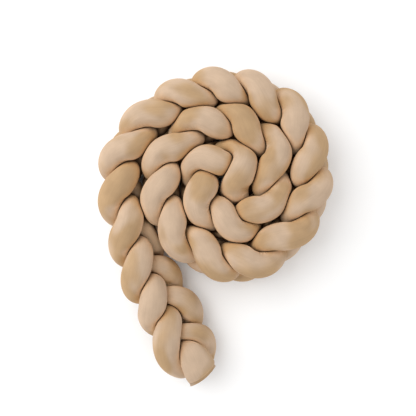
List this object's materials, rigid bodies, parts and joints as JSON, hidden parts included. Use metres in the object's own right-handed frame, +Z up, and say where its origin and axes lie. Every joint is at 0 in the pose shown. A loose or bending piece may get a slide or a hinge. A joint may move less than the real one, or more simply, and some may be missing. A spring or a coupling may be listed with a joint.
{
  "type": "crib bumper",
  "caption": "Braided cot bumper: a flat plait of stuffed velvet tubes, standing on its edge and rolled into a spiral with one loose end.",
  "frame": {"origin": "middle of the bounding box in plan, on the surface that the roll stands on", "axes": "+Z up, -Y towards the loose end's sewn tip, +X to the right as seen from above with the loose end at the bottom; the roll winds clockwise from the loose end to its middle"},
  "size_m": [0.428, 0.5808, 0.1141],
  "materials": {
    "beige_velvet": "short-pile cotton velvet, light pinkish beige to golden tan as the pile leans, matt with a soft sheen"
  },
  "bodies": {
    "root": {"strand_1": "beige_velvet", "strand_2": "beige_velvet", "strand_3": "beige_velvet"}
  },
  "joints": []
}
